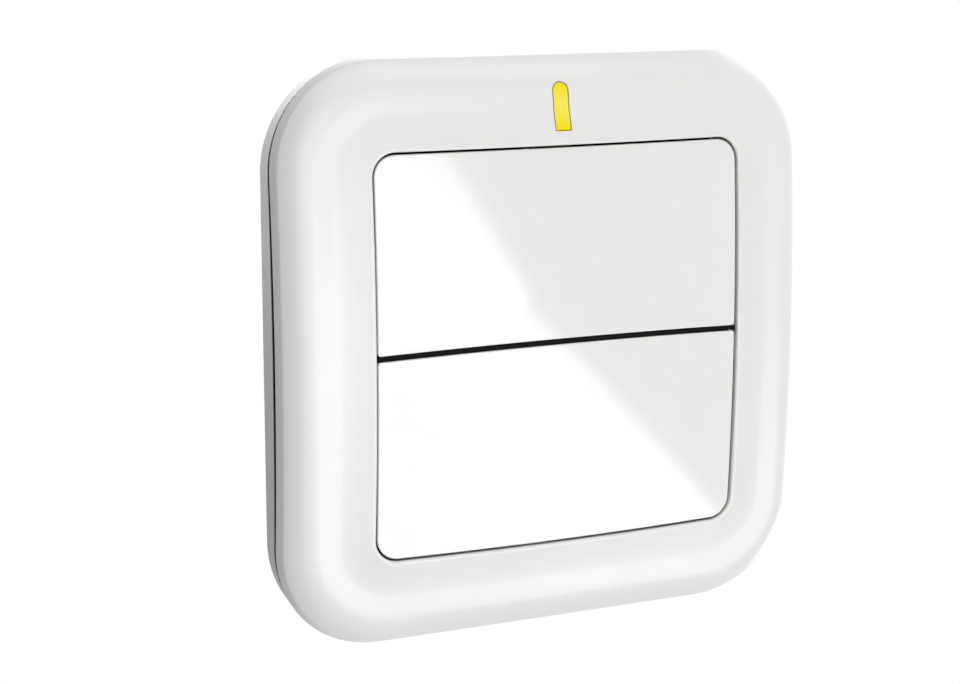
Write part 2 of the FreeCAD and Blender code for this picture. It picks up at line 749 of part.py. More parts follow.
def shoulder_curve(share):
    """Steep at the side of the frame and level at its margin."""
    return 1 - (1 - share) ** size["shoulder_power"]


def cove_curve(share):
    return share ** size["cove_power"]


def lip_point(angle):
    """Point on the small round of the lip, from its crest at 0 to the opening at a right angle."""
    return (size["half_opening"] + size["lip_round"] * (1 - math.sin(angle)),
            size["lip_depth"] - size["lip_round"] * (1 - math.cos(angle)))


shoulder_end = (size["shoulder_end"], size["margin_depth"])
cove_start = (size["cove_start"], size["margin_depth"])
section = run((size["shoulder_start"], size["front_edge"]), shoulder_end, shoulder_curve, 4)
section += run(cove_start, lip_point(0), cove_curve, 3)
section += [lip_point(math.pi / 4), lip_point(math.pi / 2)]
section += [(size["half_opening"], size["skirt_depth"]), (size["skirt_back"], size["skirt_depth"])]
wall = size["frame_wall"]
section += [(size["skirt_back"], size["lip_depth"] - wall), (size["cove_start"], size["under_depth"])]
inside_edge = (size["half_frame"] - wall, size["rear_edge"])
section += run(inside_edge, (size["shoulder_end"], size["under_depth"]), shoulder_curve, 2)[::-1]
section += [(size["half_frame"], size["rear_edge"])]

skin = []
for near, far in zip(section, section[1:] + section[:1]):
    skin += faces_between(near, far)
shell = Part.makeShell(skin)
shell.sewShape()
whole_frame = Part.Solid(shell)
if whole_frame.Volume < 0:
    whole_frame.reverse()


def slot_prism(grow):
    """The window of the status light: square foot, round head."""
    reach = size["lens_width"] / 2 + grow
    foot, top = size["lens_foot"] - grow, size["lens_head"] - size["lens_width"] / 2
    deep = -size["plate_floor"]
    points = [V(-reach, deep, top), V(-reach, deep, foot), V(reach, deep, foot), V(reach, deep, top)]
    lines = [Part.LineSegment(points[number], points[number + 1]).toShape() for number in range(3)]
    lines.append(Part.Arc(points[3], V(0, deep, top + reach), points[0]).toShape())
    return Part.Face(Part.Wire(lines)).extrude(V(0, -2 * size["key_depth"], 0))


def block(half_width, near, far, low, high, across=0):
    """Box between two depths and two heights."""
    return Part.makeBox(2 * half_width, far - near, high - low, V(across - half_width, -far, low))


def snap_hook(place, upright):
    """Hook of a side of the frame, drawn for the right-hand side at a height."""
    outside = size["spigot_inside"] - size["catch_reach"] - size["snap_clear"]
    back, nose = outside - size["snap_wall"], outside + size["snap_nose"]
    tip = size["catch_depth"] - size["snap_clear"]
    end = size["plate_floor"] + 3 * size["snap_clear"]
    behind = sag(outside if upright else place, size["frame_bow"])
    if upright:
        behind -= crown(outside, place)
    root = size["margin_depth"] - size["snap_bury"] * size["frame_wall"] - behind
    corners = [(back, end), (outside, end), (nose, tip - size["snap_lead"]), (nose, tip),
               (outside, tip), (outside, root), (back, root)]
    points = [V(x, -depth, place - size["snap_half_width"]) for x, depth in corners]
    profile = Part.Face(Part.makePolygon(points + points[:1]))
    return profile.extrude(V(0, 0, 2 * size["snap_half_width"]))


def part_feature(name, shape):
    made = doc.addObject("Part::Feature", name)
    made.Label = name
    made.Shape = shape
    made.Placement = FreeCAD.Placement()
    NODES.append(made)


hooks = []
for side in range(4):
    for place in (-size["snap_place"], size["snap_place"]):
        hook = snap_hook(place, side % 2 == 1)
        hook.rotate(V(0, 0, 0), V(0, 1, 0), 90 * side)
        hooks.append(hook)
part_feature("front_frame", whole_frame.fuse(hooks).cut(slot_prism(0)))

# Status window. A yellow light guide that fills the slot flush with the frame, is hollowed above
# the light source and is held from behind by a cross lug on a short stem.
guide = whole_frame.common(slot_prism(-size["lens_clear"]))
reach = size["lens_width"] / 2
guide = guide.cut(block(2 * reach, 0, size["board_front"] + size["led_thick"] + size["led_gap"],
                        size["lens_foot"] - reach, size["tongue_top"] + size["led_gap"]))
high = size["lens_head"] - size["lens_lug_drop"]
low = high - size["lens_lug_height"]
front = size["under_depth"] - sag(high, size["frame_bow"]) + crown(high, reach) - size["lens_lug_gap"]
back = front - size["lens_lug_thick"]
stem = block(size["lens_stem_share"] * reach, back, front + size["frame_wall"] / 2, low, high)
lug = block(reach + size["lens_lug_side"], back, front, low, high)
part_feature("indicator_lens", guide.fuse([stem, lug]))

# Circuit board with a tongue that carries the status light below its window.
circuit_board = body("circuit_board")
board = draw(circuit_board, "XZ_Plane", "board_depth")
polygon(board, [("-board_half_width", "-board_half_height"), ("board_half_width", "-board_half_height"),
                ("board_half_width", "board_half_height"), ("tongue_half_width", "board_half_height"),
                ("tongue_half_width", "tongue_top"), ("-tongue_half_width", "tongue_top"),
                ("-tongue_half_width", "board_half_height"), ("-board_half_width", "board_half_height")])
for sign in ("", "-"):
    for other in ("", "-"):
        circle(board, sign + "screw_across", other + "screw_up", "screw_radius + screw_hole_clear")
pad(circuit_board, board, "board_thick")


# Push switches: a moulded body with a well, a sprung plunger and a pressed metal cover.
def make_switch(name, up):
    corners = ("-switch_size / 2", up + " - switch_size / 2", "switch_size / 2", up + " + switch_size / 2")
    case = body(name + "_switch_body")
    outline = draw(case, "XZ_Plane", "board_front")
    box_outline(outline, *corners)
    pad(case, outline, "switch_body_thick")
    socket = draw(case, "XZ_Plane", "switch_front")
    circle(socket, "0", up, "plunger_radius + well_margin")
    cut(case, socket, "switch_body_thick - switch_floor")
    cover = body(name + "_switch_cover")
    plate = draw(cover, "XZ_Plane", "switch_front")
    box_outline(plate, *corners)
    circle(plate, "0", up, "plunger_radius + cover_hole_clear")
    pad(cover, plate, "switch_cover_thick")
    for hand in ("", "-"):
        tab = draw(cover, "XZ_Plane", "board_front + switch_floor")
        box_outline(tab, hand + "switch_size / 2", up + " - cover_tab",
                    hand + "(switch_size / 2 + switch_cover_thick)", up + " + cover_tab")
        pad(cover, tab, "switch_body_thick + switch_cover_thick - switch_floor")
    plunger = body(name + "_switch_plunger")
    for radius, length in (("plunger_radius + flange_margin", "flange_thick"),
                           ("plunger_radius", "plunger_front - plunger_back")):
        disc = draw(plunger, "XZ_Plane", "plunger_back")
        circle(disc, "0", up, radius)
        pad(plunger, disc, length)


make_switch("upper", "switch_height")
make_switch("lower", "-switch_height")


def make_block(name, across, up, width, height, thick):
    """A rectangular component that lies on the board."""
    made = body(name)
    outline = draw(made, "XZ_Plane", "board_front")
    box_outline(outline, "%s - %s / 2" % (across, width), "%s - %s / 2" % (up, height),
                "%s + %s / 2" % (across, width), "%s + %s / 2" % (up, height))
    pad(made, outline, thick)


make_block("status_led", "0", "led_height", "led_length", "led_width", "led_thick")
make_block("microcontroller", "controller_across", "controller_up", "controller_size", "controller_size",
           "chip_thick")
make_block("transmitter_chip", "radio_across", "radio_up", "radio_size", "radio_size", "chip_thick")
make_block("crystal", "radio_across", "radio_up - crystal_step", "crystal_length", "crystal_width",
           "crystal_thick")

# Chip resistors and capacitors, one group of equal small blocks around the two larger chips.
AROUND = {
    "controller": ((-6, -1), (-6, 1), (5.5, 1), (5.5, 3), (0, -4.5), (7.5, 6)),
    "radio": ((-5, -3), (-5, -1), (-5, 1), (4.5, -1), (4.5, 1)),
}
small = []
for chip, steps in AROUND.items():
    for across, up in steps:
        made = doc.addObject("Part::Box", "small_%s" % chip)
        bind(made, "Length", "small_length")
        bind(made, "Width", "small_thick")
        bind(made, "Height", "small_width")
        bind(made, "Placement.Base.x", "%s_across + %s - small_length / 2" % (chip, across))
        bind(made, "Placement.Base.y", "-(board_front + small_thick)")
        bind(made, "Placement.Base.z", "%s_up + %s - small_width / 2" % (chip, up))
        small.append(made)


def compound(name, links):
    made = doc.addObject("Part::Compound", name)
    made.Label = name
    made.Links = links
    NODES.append(made)


compound("chip_components", small)

# Coin cell: a can with a rounded rim and, towards the board, the smaller lid in its seal.
coin_cell = body("coin_cell")
cell = draw(coin_cell, "YZ_Plane")
polygon(cell, [("-cell_back", "0"), ("-cell_back", "cell_radius - cell_round"),
               ("-(cell_back + cell_round)", "cell_radius"), ("-(cell_front - cell_round)", "cell_radius"),
               ("-(cell_front - lid_step)", "cell_radius - cell_round"),
               ("-(cell_front - lid_step)", "cell_radius - lid_inset + lid_step"),
               ("-cell_front", "cell_radius - lid_inset"), ("-cell_front", "0")])
turned = coin_cell.newObject("PartDesign::Revolution", "cell_turned")
turned.Profile = cell
turned.ReferenceAxis = (cell, ["H_Axis"])
turned.Angle = 360

# Positive contact: a strip soldered to the rear of the board, bent down the side of the cell.
clip = body("battery_positive_clip")
strip = draw(clip, "XY_Plane", "-clip_half_width")
inside_bend, outside_bend = "(cell_radius + contact_lift)", "(cell_radius + contact_lift + contact_thick)"
foot, end = "-(board_depth - contact_thick)", inside_bend + " + clip_foot"
polygon(strip, [(inside_bend, "-board_depth"), (inside_bend, "-chassis_front"),
                (outside_bend, "-chassis_front"), (outside_bend, foot), (end, foot), (end, "-board_depth")])
pad(clip, strip, "2 * clip_half_width")

# Negative contact: a leaf spring on the rear of the board that presses on the lid of the cell.
leaf = body("battery_negative_contact")
strip = draw(leaf, "XY_Plane", "-clip_half_width")
touch = "-(cell_front + contact_lift)"
tip = "-(board_depth - leaf_tip_gap)"
polygon(strip, [("-leaf_anchor", "-board_depth"), ("-leaf_bend", "-board_depth"),
                ("leaf_bend", touch + " - contact_thick"), ("leaf_tip", tip),
                ("leaf_tip", tip + " + contact_thick"), ("leaf_bend", touch),
                ("-leaf_bend", "-board_depth + contact_thick"),
                ("-leaf_anchor", "-board_depth + contact_thick")])
pad(leaf, strip, "2 * clip_half_width")

# Helical aerial along the lower edge of the board: square wire in short straight pieces, with a
# foot at each end.
length = size["coil_pitch"] * size["coil_turns"]
steps = round(size["coil_turns"] * 8)
points = []
for number in range(steps + 1):
    angle = number * math.pi / 4
    points.append(V(size["coil_radius"] * math.cos(angle), size["coil_radius"] * math.sin(angle),
                    length * number / steps))
half = size["wire_radius"]
corners = [points[0] + V(x * half, 0, z * half) for x, z in ((-1, -1), (1, -1), (1, 1), (-1, 1), (-1, -1))]
coil = Part.makePolygon(points).makePipeShell([Part.makePolygon(corners)], True, False, 1)
sideways = FreeCAD.Rotation(V(0, 1, 0), V(0, 0, 1), V(1, 0, 0))
coil.Placement = FreeCAD.Placement(V(-length / 2, -size["coil_front"], size["coil_up"]), sideways)
foot_front = size["board_front"] + size["coil_foot_thick"]
foot_low, foot_high = (size["coil_up"] + side * size["coil_foot_width"] / 2 for side in (-1, 1))
feet = [block(size["coil_foot_length"] / 2, size["board_front"], foot_front, foot_low, foot_high, end)
        for end in (-length / 2, length / 2)]
part_feature("antenna_coil", coil.fuse(feet))

# Screws that hold the board on the bosses of the chassis.
turn_forward = FreeCAD.Rotation(V(1, 0, 0), 90)
screws = []
for number in range(4):
    across = ("" if number % 2 else "-") + "screw_across"
    up = ("" if number // 2 else "-") + "screw_up"
    pieces = []
    parts = (("head", "head_radius", "board_front", "head_thick"),
             ("shank", "screw_radius", "board_front - screw_length", "screw_length"))
    for name, radius, depth, length in parts:
        made = doc.addObject("Part::Cylinder", "screw_%s_%d" % (name, number))
        bind(made, "Radius", radius)
        bind(made, "Height", length)
        made.Placement = FreeCAD.Placement(V(), turn_forward)
        bind(made, "Placement.Base.x", across)
        bind(made, "Placement.Base.y", "-(%s)" % depth)
        bind(made, "Placement.Base.z", up)
        pieces.append(made)
    screw = doc.addObject("Part::Fuse", "screw_%d" % number)
    screw.Base, screw.Tool = pieces
    screws.append(screw)
compound("board_screws", screws)

doc.recompute()
os.makedirs("parts", exist_ok=True)
for item in doc.Objects:
    if "Invalid" in item.State or "Error" in item.State:
        raise ValueError("%s failed to build" % item.Label)
for node in NODES:
    shape = node.Shape
    if shape.isNull() or not shape.isValid():
        raise ValueError("%s has no valid shape" % node.Label)
    shape.exportStep("parts/%s.step" % node.Label)
    print(node.Label, len(shape.Solids), round(shape.Volume, 1), shape.BoundBox)
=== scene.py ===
import math

import bmesh
import bpy
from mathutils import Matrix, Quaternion, Vector


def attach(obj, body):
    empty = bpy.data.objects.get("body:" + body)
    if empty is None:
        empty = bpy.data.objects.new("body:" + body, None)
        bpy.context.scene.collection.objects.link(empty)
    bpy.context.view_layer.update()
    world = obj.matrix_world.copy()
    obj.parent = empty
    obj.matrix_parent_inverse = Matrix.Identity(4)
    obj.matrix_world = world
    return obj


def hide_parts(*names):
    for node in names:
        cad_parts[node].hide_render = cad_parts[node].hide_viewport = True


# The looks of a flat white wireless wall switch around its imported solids.
# Sizes are real millimetres; MM turns them to metres. X runs to the right of somebody facing the
# switch, Z runs up and the front faces -Y, so a depth is a distance from the wall along -Y.
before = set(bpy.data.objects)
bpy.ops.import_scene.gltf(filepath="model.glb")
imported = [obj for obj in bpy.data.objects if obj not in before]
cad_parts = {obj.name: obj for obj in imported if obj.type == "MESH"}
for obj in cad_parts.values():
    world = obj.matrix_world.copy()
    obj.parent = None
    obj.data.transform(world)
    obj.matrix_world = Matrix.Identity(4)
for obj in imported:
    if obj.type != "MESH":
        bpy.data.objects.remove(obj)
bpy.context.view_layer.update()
MM = 0.001

# Front frame. One injection-moulded skin of glossy white ABS that snaps over the wall plate: a
# side band, a round shoulder, a flat margin, a cove and a small lip around the key opening. The
# front is bowed from top to bottom, and its upper and lower sides stand forward in the middle.
HALF_FRAME = 40.0
HALF_OPENING = 27.5
OUTLINE_RADIUS = 15.25
OPENING_RADIUS = 3.25
FRAME_BOW = 315.0
FRAME_CROWN = 1.2
CROWN_POWER = 4
OPENING_RISE = 0.365
OPENING_SQUEEZE = 0.135
REAR_EDGE = 5.82
FRONT_EDGE = 7.27
MARGIN_DEPTH = 9.67
LIP_DEPTH = 10.6
BAND_INSET = 0.55
BAND_TURN_IN = 0.6
BAND_TURN_UP = 0.7
BAND_ROUND = 0.16
SHOULDER_END = 35.0
SHOULDER_POWER = 2.2
COVE_START = 32.45
COVE_POWER = 1.35
LIP_ROUND = 0.35
LIP_BACK = 10.1
SKIRT_ROOT = 9.1
SKIRT_DEPTH = 8.0
SKIRT_WALL = 1.2
SKIRT_DRAFT = 0.3
SKIRT_ROUND = 0.15
FRAME_WALL = 1.5
CORNER_STEPS = 20
SIDE_STEPS = 36
ARC_STEPS = 4
ARC_SHARE = 0.45
SHOULDER_STEPS = 20
MARGIN_STEPS = 4
COVE_STEPS = 16
LIP_STEPS = 6
INSIDE_COVE_STEPS = 4
INSIDE_SHOULDER_STEPS = 6
WELD_METRES = 1e-7
CREASE_DEGREES = 38


def sag(height, bow):
    """How far a bowed surface lies behind its crest at a height."""
    return bow - math.sqrt(bow * bow - height * height)


def outline(left, low, right, high, radii):
    """Points of a rounded rectangle, from the lower end of its right side round to the left.
    radii are those of the upper right, upper left, lower left and lower right corner."""
    corners = []
    signs = ((1, 1), (-1, 1), (-1, -1), (1, -1))
    for number, ((right_hand, upper), radius) in enumerate(zip(signs, radii)):
        x = right - radius if right_hand > 0 else left + radius
        z = high - radius if upper > 0 else low + radius
        angles = [(number + step / CORNER_STEPS) * math.pi / 2 for step in range(CORNER_STEPS + 1)]
        corners.append([(x + radius * math.cos(angle), z + radius * math.sin(angle))
                        for angle in angles])
    points = []
    for corner, after in zip(corners, corners[1:] + corners[:1]):
        points += corner
        for step in range(1, SIDE_STEPS):
            share = step / SIDE_STEPS
            points.append(tuple(a + (b - a) * share for a, b in zip(corner[-1], after[0])))
    return points


def frame_ring(reach, depth):
    """Rounded square on the bow. Its corners grow evenly from the opening outwards, its upper and
    lower sides stand forward in the middle, and the opening lies a little above the middle."""
    share = (reach - HALF_OPENING) / (HALF_FRAME - HALF_OPENING)
    radius = OPENING_RADIUS + share * (OUTLINE_RADIUS - OPENING_RADIUS)
    crown = FRAME_CROWN * (1 - share ** CROWN_POWER)
    points = []
    for x, z in outline(-reach, -reach, reach, reach, [radius] * 4):
        z += (OPENING_RISE - OPENING_SQUEEZE * z / reach) * (1 - share)
        y = sag(z, FRAME_BOW) - depth - crown * (1 - (x / reach) ** 2)
        points.append(Vector((x, y, z)) * MM)
    return points


def join_rings(mesh, rings, closed=False, capped=False):
    """Adds faces to a bmesh that join each ring of points to the next one."""
    loops = [[mesh.verts.new(point) for point in points] for points in rings]
    pairs = list(zip(loops, loops[1:]))
    if closed:
        pairs.append((loops[-1], loops[0]))
    for near, far in pairs:
        for number in range(len(near)):
            after = (number + 1) % len(near)
            mesh.faces.new((near[number], near[after], far[after], far[number]))
    if capped:
        mesh.faces.new(loops[0])
        mesh.faces.new(loops[-1])


def smooth(data):
    """Makes the faces smooth, and each edge sharp that turns by more than the crease."""
    for face in data.polygons:
        face.use_smooth = True
    data.set_sharp_from_angle(angle=math.radians(CREASE_DEGREES))


def finished(name, mesh):
    """Object from a bmesh, with welded points, outward normals and smooth faces."""
    bmesh.ops.remove_doubles(mesh, verts=mesh.verts, dist=WELD_METRES)
    bmesh.ops.recalc_face_normals(mesh, faces=mesh.faces)
    data = bpy.data.meshes.new(name)
    mesh.to_mesh(data)
    mesh.free()
    smooth(data)
    made = bpy.data.objects.new(name, data)
    bpy.context.scene.collection.objects.link(made)
    return made


def ring_mesh(name, rings, closed=False, capped=False):
    """Object from rings of points."""
    mesh = bmesh.new()
    join_rings(mesh, rings, closed, capped)
    return finished(name, mesh)


def rounded(corners, radius):
    """Section line whose inner corners become small arcs; its two ends stay."""
    line = [corners[0]]
    for before, corner, after in zip(corners, corners[1:], corners[2:]):
        a, b, c = Vector(before), Vector(corner), Vector(after)
        reach = min(radius, (a - b).length * ARC_SHARE, (c - b).length * ARC_SHARE)
        start, stop = b + (a - b).normalized() * reach, b + (c - b).normalized() * reach
        for step in range(ARC_STEPS + 1):
            t = step / ARC_STEPS
            line.append(tuple(start * (1 - t) ** 2 + b * 2 * t * (1 - t) + stop * t * t))
    line.append(corners[-1])
    return line


def shoulder(start, end, low, high, steps):
    """Steep at the side of the frame and level at its margin."""
    return [(start + (end - start) * n / steps,
             low + (high - low) * (1 - (1 - n / steps) ** SHOULDER_POWER))
            for n in range(steps + 1)]


def cove(start, end, low, high, steps):
    """Level at the margin and rising towards the lip."""
    return [(start + (end - start) * n / steps, low + (high - low) * (n / steps) ** COVE_POWER)
            for n in range(steps + 1)]


# The section of the frame's wall: from the rear edge over band, shoulder, margin, cove and lip
# into the opening, round the foot of the skirt and back inside. Each point becomes a ring.
band_front = HALF_FRAME - BAND_INSET
skirt_back = HALF_OPENING + SKIRT_WALL
inside_margin = MARGIN_DEPTH - FRAME_WALL
quarter = [n * math.pi / (2 * LIP_STEPS) for n in range(1, LIP_STEPS + 1)]
section = rounded([(HALF_FRAME - FRAME_WALL, REAR_EDGE), (HALF_FRAME, REAR_EDGE),
                   (band_front, FRONT_EDGE),
                   (band_front - BAND_TURN_IN, FRONT_EDGE + BAND_TURN_UP)], BAND_ROUND)[:-1]
section += shoulder(band_front, SHOULDER_END, FRONT_EDGE, MARGIN_DEPTH, SHOULDER_STEPS)[1:]
section += [(SHOULDER_END - (SHOULDER_END - COVE_START) * n / MARGIN_STEPS, MARGIN_DEPTH)
            for n in range(1, MARGIN_STEPS)]
section += cove(COVE_START, HALF_OPENING + LIP_ROUND, MARGIN_DEPTH, LIP_DEPTH, COVE_STEPS)
section += [(HALF_OPENING + LIP_ROUND * (1 - math.sin(angle)),
             LIP_DEPTH - LIP_ROUND * (1 - math.cos(angle))) for angle in quarter]
section += rounded([(HALF_OPENING, LIP_BACK), (HALF_OPENING + SKIRT_DRAFT, SKIRT_DEPTH),
                    (skirt_back, SKIRT_DEPTH), (skirt_back, SKIRT_ROOT)], SKIRT_ROUND)
section += cove(COVE_START, skirt_back, inside_margin, LIP_DEPTH - FRAME_WALL,
                INSIDE_COVE_STEPS)[::-1]
section += shoulder(HALF_FRAME - FRAME_WALL, SHOULDER_END, REAR_EDGE, inside_margin,
                    INSIDE_SHOULDER_STEPS)[::-1]
front_frame = ring_mesh("frame_skin", [frame_ring(*point) for point in section[:-1]], closed=True)

# The slot of the status window is cut through the top margin: square foot, round head.
LENS_HALF_WIDTH = 1.225
LENS_FOOT = 29.6
LENS_HEAD = 36.1
HEAD_STEPS = 12
FLANK_STEPS = 8
FOOT_STEPS = 4
CUT_DEPTHS = (0, 20)


def slot_line(inset):
    """Outline of the slot, drawn in by inset, from its lower right corner to its lower left."""
    half = LENS_HALF_WIDTH - inset
    centre = LENS_HEAD - LENS_HALF_WIDTH
    foot = LENS_FOOT + inset
    angles = [n * math.pi / HEAD_STEPS for n in range(HEAD_STEPS + 1)]
    head = [(half * math.cos(angle), centre + half * math.sin(angle)) for angle in angles]
    flank = [foot + (centre - foot) * n / FLANK_STEPS for n in range(FLANK_STEPS)]
    base = [(-half + 2 * half * n / FOOT_STEPS, foot) for n in range(1, FOOT_STEPS)]
    return [(half, z) for z in flank] + head + [(-half, z) for z in flank[::-1]] + base


def flat_ring(points, depth):
    """Outline points all at one depth."""
    return [Vector((x, -depth, z)) * MM for x, z in points]


def cut_away(owner, cutter):
    """Takes the cutter's form out of a mesh object and deletes the cutter."""
    modifier = owner.modifiers.new("cut", "BOOLEAN")
    modifier.object = cutter
    modifier.solver = "EXACT"
    graph = bpy.context.evaluated_depsgraph_get()
    result = bpy.data.meshes.new_from_object(owner.evaluated_get(graph))
    owner.modifiers.clear()
    owner.data = result
    bpy.data.objects.remove(cutter)
    smooth(result)


slot_rings = [flat_ring(slot_line(0), depth) for depth in CUT_DEPTHS]
cut_away(front_frame, ring_mesh("slot_cutter", slot_rings, capped=True))
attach(front_frame, "base")
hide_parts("front_frame")

# Glossy white ABS from a polished mould: even and bright, with a mirror gloss that a faint
# flow unevenness about 6 mm wide and a grain of 0.15 mm soften.
ABS_IOR = 1.53
FLOW_MM = 6.0
FLOW_DETAIL = 2.0
GRAIN_MM = 0.15
GLOSS_SWING = 0.15


def linear(code):
    """Linear colour with alpha from an sRGB hex code."""
    parts = [int(code[n:n + 2], 16) / 255 for n in (1, 3, 5)]
    return [part / 12.92 if part <= 0.04045 else ((part + 0.055) / 1.055) ** 2.4
            for part in parts] + [1]


def add(tree, kind, settings=None, links=None):
    """Node with its settings, by property or socket name, and its links, by socket."""
    node = tree.nodes.new(kind)
    for name, setting in (settings or {}).items():
        if name in node.inputs:
            node.inputs[name].default_value = setting
        else:
            setattr(node, name, setting)
    for name, source in (links or {}).items():
        tree.links.new(source, node.inputs[name])
    return node


def material(name):
    """New material, its empty node tree, and the place on the piece that patterns follow."""
    made = bpy.data.materials.new(name)
    made.use_nodes = True
    tree = made.node_tree
    tree.nodes.clear()
    return made, tree, add(tree, "ShaderNodeTexCoord").outputs["Object"]


def clouded(tree, place, cloud_mm, detail, first, second, settings):
    """Surface whose colour drifts between two in clouds of a real size. Gives the clouds and
    the shader, for what else a finish links to them."""
    clouds = add(tree, "ShaderNodeTexNoise", {"Scale": 1 / (cloud_mm * MM), "Detail": detail},
                 {"Vector": place})
    tint = add(tree, "ShaderNodeMixRGB", {"Color1": linear(first), "Color2": linear(second)},
               {"Fac": clouds.outputs["Fac"]})
    shader = add(tree, "ShaderNodeBsdfPrincipled", settings, {"Base Color": tint.outputs["Color"]})
    add(tree, "ShaderNodeOutputMaterial", links={"Surface": shader.outputs["BSDF"]})
    return clouds, shader


def dress(made, *pieces):
    """Gives the pieces this material alone."""
    for piece in pieces:
        piece.data.materials.clear()
        piece.data.materials.append(made)


def glossy_abs(name, light, shade, roughness):
    """Polished ABS with its flow and grain."""
    made, tree, place = material(name)
    flow, shader = clouded(tree, place, FLOW_MM, FLOW_DETAIL, light, shade, {"IOR": ABS_IOR})
    gloss = add(tree, "ShaderNodeMapRange", {"To Min": roughness * (1 - GLOSS_SWING),
                                             "To Max": roughness * (1 + GLOSS_SWING)},
                {"Value": flow.outputs["Fac"]})
    grain = add(tree, "ShaderNodeTexNoise", {"Scale": 1 / (GRAIN_MM * MM), "Detail": 1.0},
                {"Vector": place})
    bump = add(tree, "ShaderNodeBump", {"Strength": 0.04, "Distance": 0.01 * MM},
               {"Height": grain.outputs["Fac"]})
    tree.links.new(gloss.outputs["Result"], shader.inputs["Roughness"])
    tree.links.new(bump.outputs["Normal"], shader.inputs["Normal"])
    return made


white_abs_frame = glossy_abs("white_abs_frame", "#E7E7E5", "#E5E5E3", 0.3)
dress(white_abs_frame, front_frame)

# Wall plate. A drafted tray of the same white ABS with a duller mould finish, screwed or stuck to
# the wall; its white is drawn greyer than the frame's, painted shade for its dimly lit sides. Its
# rim follows the bow of the frame and ends in a shadow gap. Painted shade, near black, covers the
# rim from just below its rounded edge on, and the thinner spigot in the gap behind it.
RIM_DEPTH = 5.27
SHADE_START = RIM_DEPTH - 0.36
SHADE_FULL = RIM_DEPTH - 0.3
plate_abs_with_painted_shade, tree, place = material("white_abs_wall_plate_with_painted_shade")
axes = add(tree, "ShaderNodeSeparateXYZ", links={"Vector": place})
square = add(tree, "ShaderNodeMath", {"operation": "MULTIPLY"},
             {0: axes.outputs["Z"], 1: axes.outputs["Z"]})
bow = add(tree, "ShaderNodeMath", {"operation": "DIVIDE"}, {0: square.outputs["Value"]})
bow.inputs[1].default_value = 2 * FRAME_BOW * MM
behind = add(tree, "ShaderNodeMath", {"operation": "SUBTRACT"},
             {0: bow.outputs["Value"], 1: axes.outputs["Y"]})
# Painted shade of the shadow gap: near black from just below the rim's rounded edge on.
painted_gap_shade = add(tree, "ShaderNodeMapRange",
             {"From Min": SHADE_START * MM, "From Max": SHADE_FULL * MM},
             {"Value": behind.outputs["Value"]})
flow = add(tree, "ShaderNodeTexNoise", {"Scale": 1 / (FLOW_MM * MM), "Detail": FLOW_DETAIL},
           {"Vector": place})
# Painted shade: the plate's white is drawn greyer than the frame's, for its dimly lit sides.
plate_tone_painted_shade = add(tree, "ShaderNodeMixRGB", {"Color1": linear("#D6D4D4"), "Color2": linear("#D2D0D0")},
           {"Fac": flow.outputs["Fac"]})
tint = add(tree, "ShaderNodeMixRGB", {"Color2": linear("#161515")},
           {"Fac": painted_gap_shade.outputs["Result"], "Color1": plate_tone_painted_shade.outputs["Color"]})
shader = add(tree, "ShaderNodeBsdfPrincipled",
             {"IOR": ABS_IOR, "Roughness": 0.4, "Specular IOR Level": 0.3},
             {"Base Color": tint.outputs["Color"]})
add(tree, "ShaderNodeOutputMaterial", links={"Surface": shader.outputs["BSDF"]})
dress(plate_abs_with_painted_shade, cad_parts["wall_plate"])

# Push keys. Two thin domed caps of the same ABS with a mirror polish, moulded with skirts, hinge
# lugs and hooks behind; the caps are drawn with their skirts only. They fill the opening but for a
# fine gap all round and a wider gap between them, which rises a little in the middle.
KEY_DEPTH = 10.15
KEY_BOW = 366.75
KEY_CROWN = 1.2
KEY_ROUND = 308.87
HALF_KEY = 27.2
KEY_TOP = 27.43
KEY_BOTTOM = -26.7
KEY_CORNER = 2.95
KEY_INNER_CORNER = 0.4
KEY_LEAST_CORNER = 0.02
KEY_EDGE = 0.18
KEY_EDGE_STEPS = 6
KEY_EDGE_FOOT = KEY_EDGE + 0.1
KEY_FACE_WALL = 1.5
KEY_SIDE_WALL = 1.2
KEY_DRAFT = 0.3
KEY_SKIRT_DEPTH = 7.6
KEY_SKIRT_BEVEL = 0.1
KEY_FACE_INSETS = (0.45, 0.7, 1.2, 2.0, 3.0, 4.5, 6.0, 7.5, 9.0, 10.5, 12.0)
GAP_HEIGHT = 0.77
HALF_GAP = 0.38
GAP_ARCH = 0.54
SLOPE_STEP = 0.01
ON_FACE = 0.001


def key_face(x, z):
    """Depth of the domed face of the keys."""
    front = KEY_BOW + KEY_CROWN - sag(x, KEY_ROUND)
    return math.sqrt(front * front - z * z) - KEY_BOW + KEY_DEPTH


def gap_arch(x):
    """How far the gap between the keys rises at a place across."""
    return GAP_ARCH * (1 - (x / HALF_KEY) ** 2)


def dome_normals(cap):
    """Gives the points of the face the dome's own normals, so that reflections run true over
    its long thin faces. A normal of zero leaves a point the one that it has."""
    normals = []
    for vertex in cap.data.vertices:
        x, y, z = vertex.co / MM
        across = key_face(x + SLOPE_STEP, z) - key_face(x - SLOPE_STEP, z)
        upright = key_face(x, z + SLOPE_STEP) - key_face(x, z - SLOPE_STEP)
        normal = Vector((-across, -2 * SLOPE_STEP, -upright)).normalized()
        normals.append(normal if abs(y + key_face(x, z)) < ON_FACE else Vector((0, 0, 0)))
    cap.data.normals_split_custom_set_from_vertices(normals)


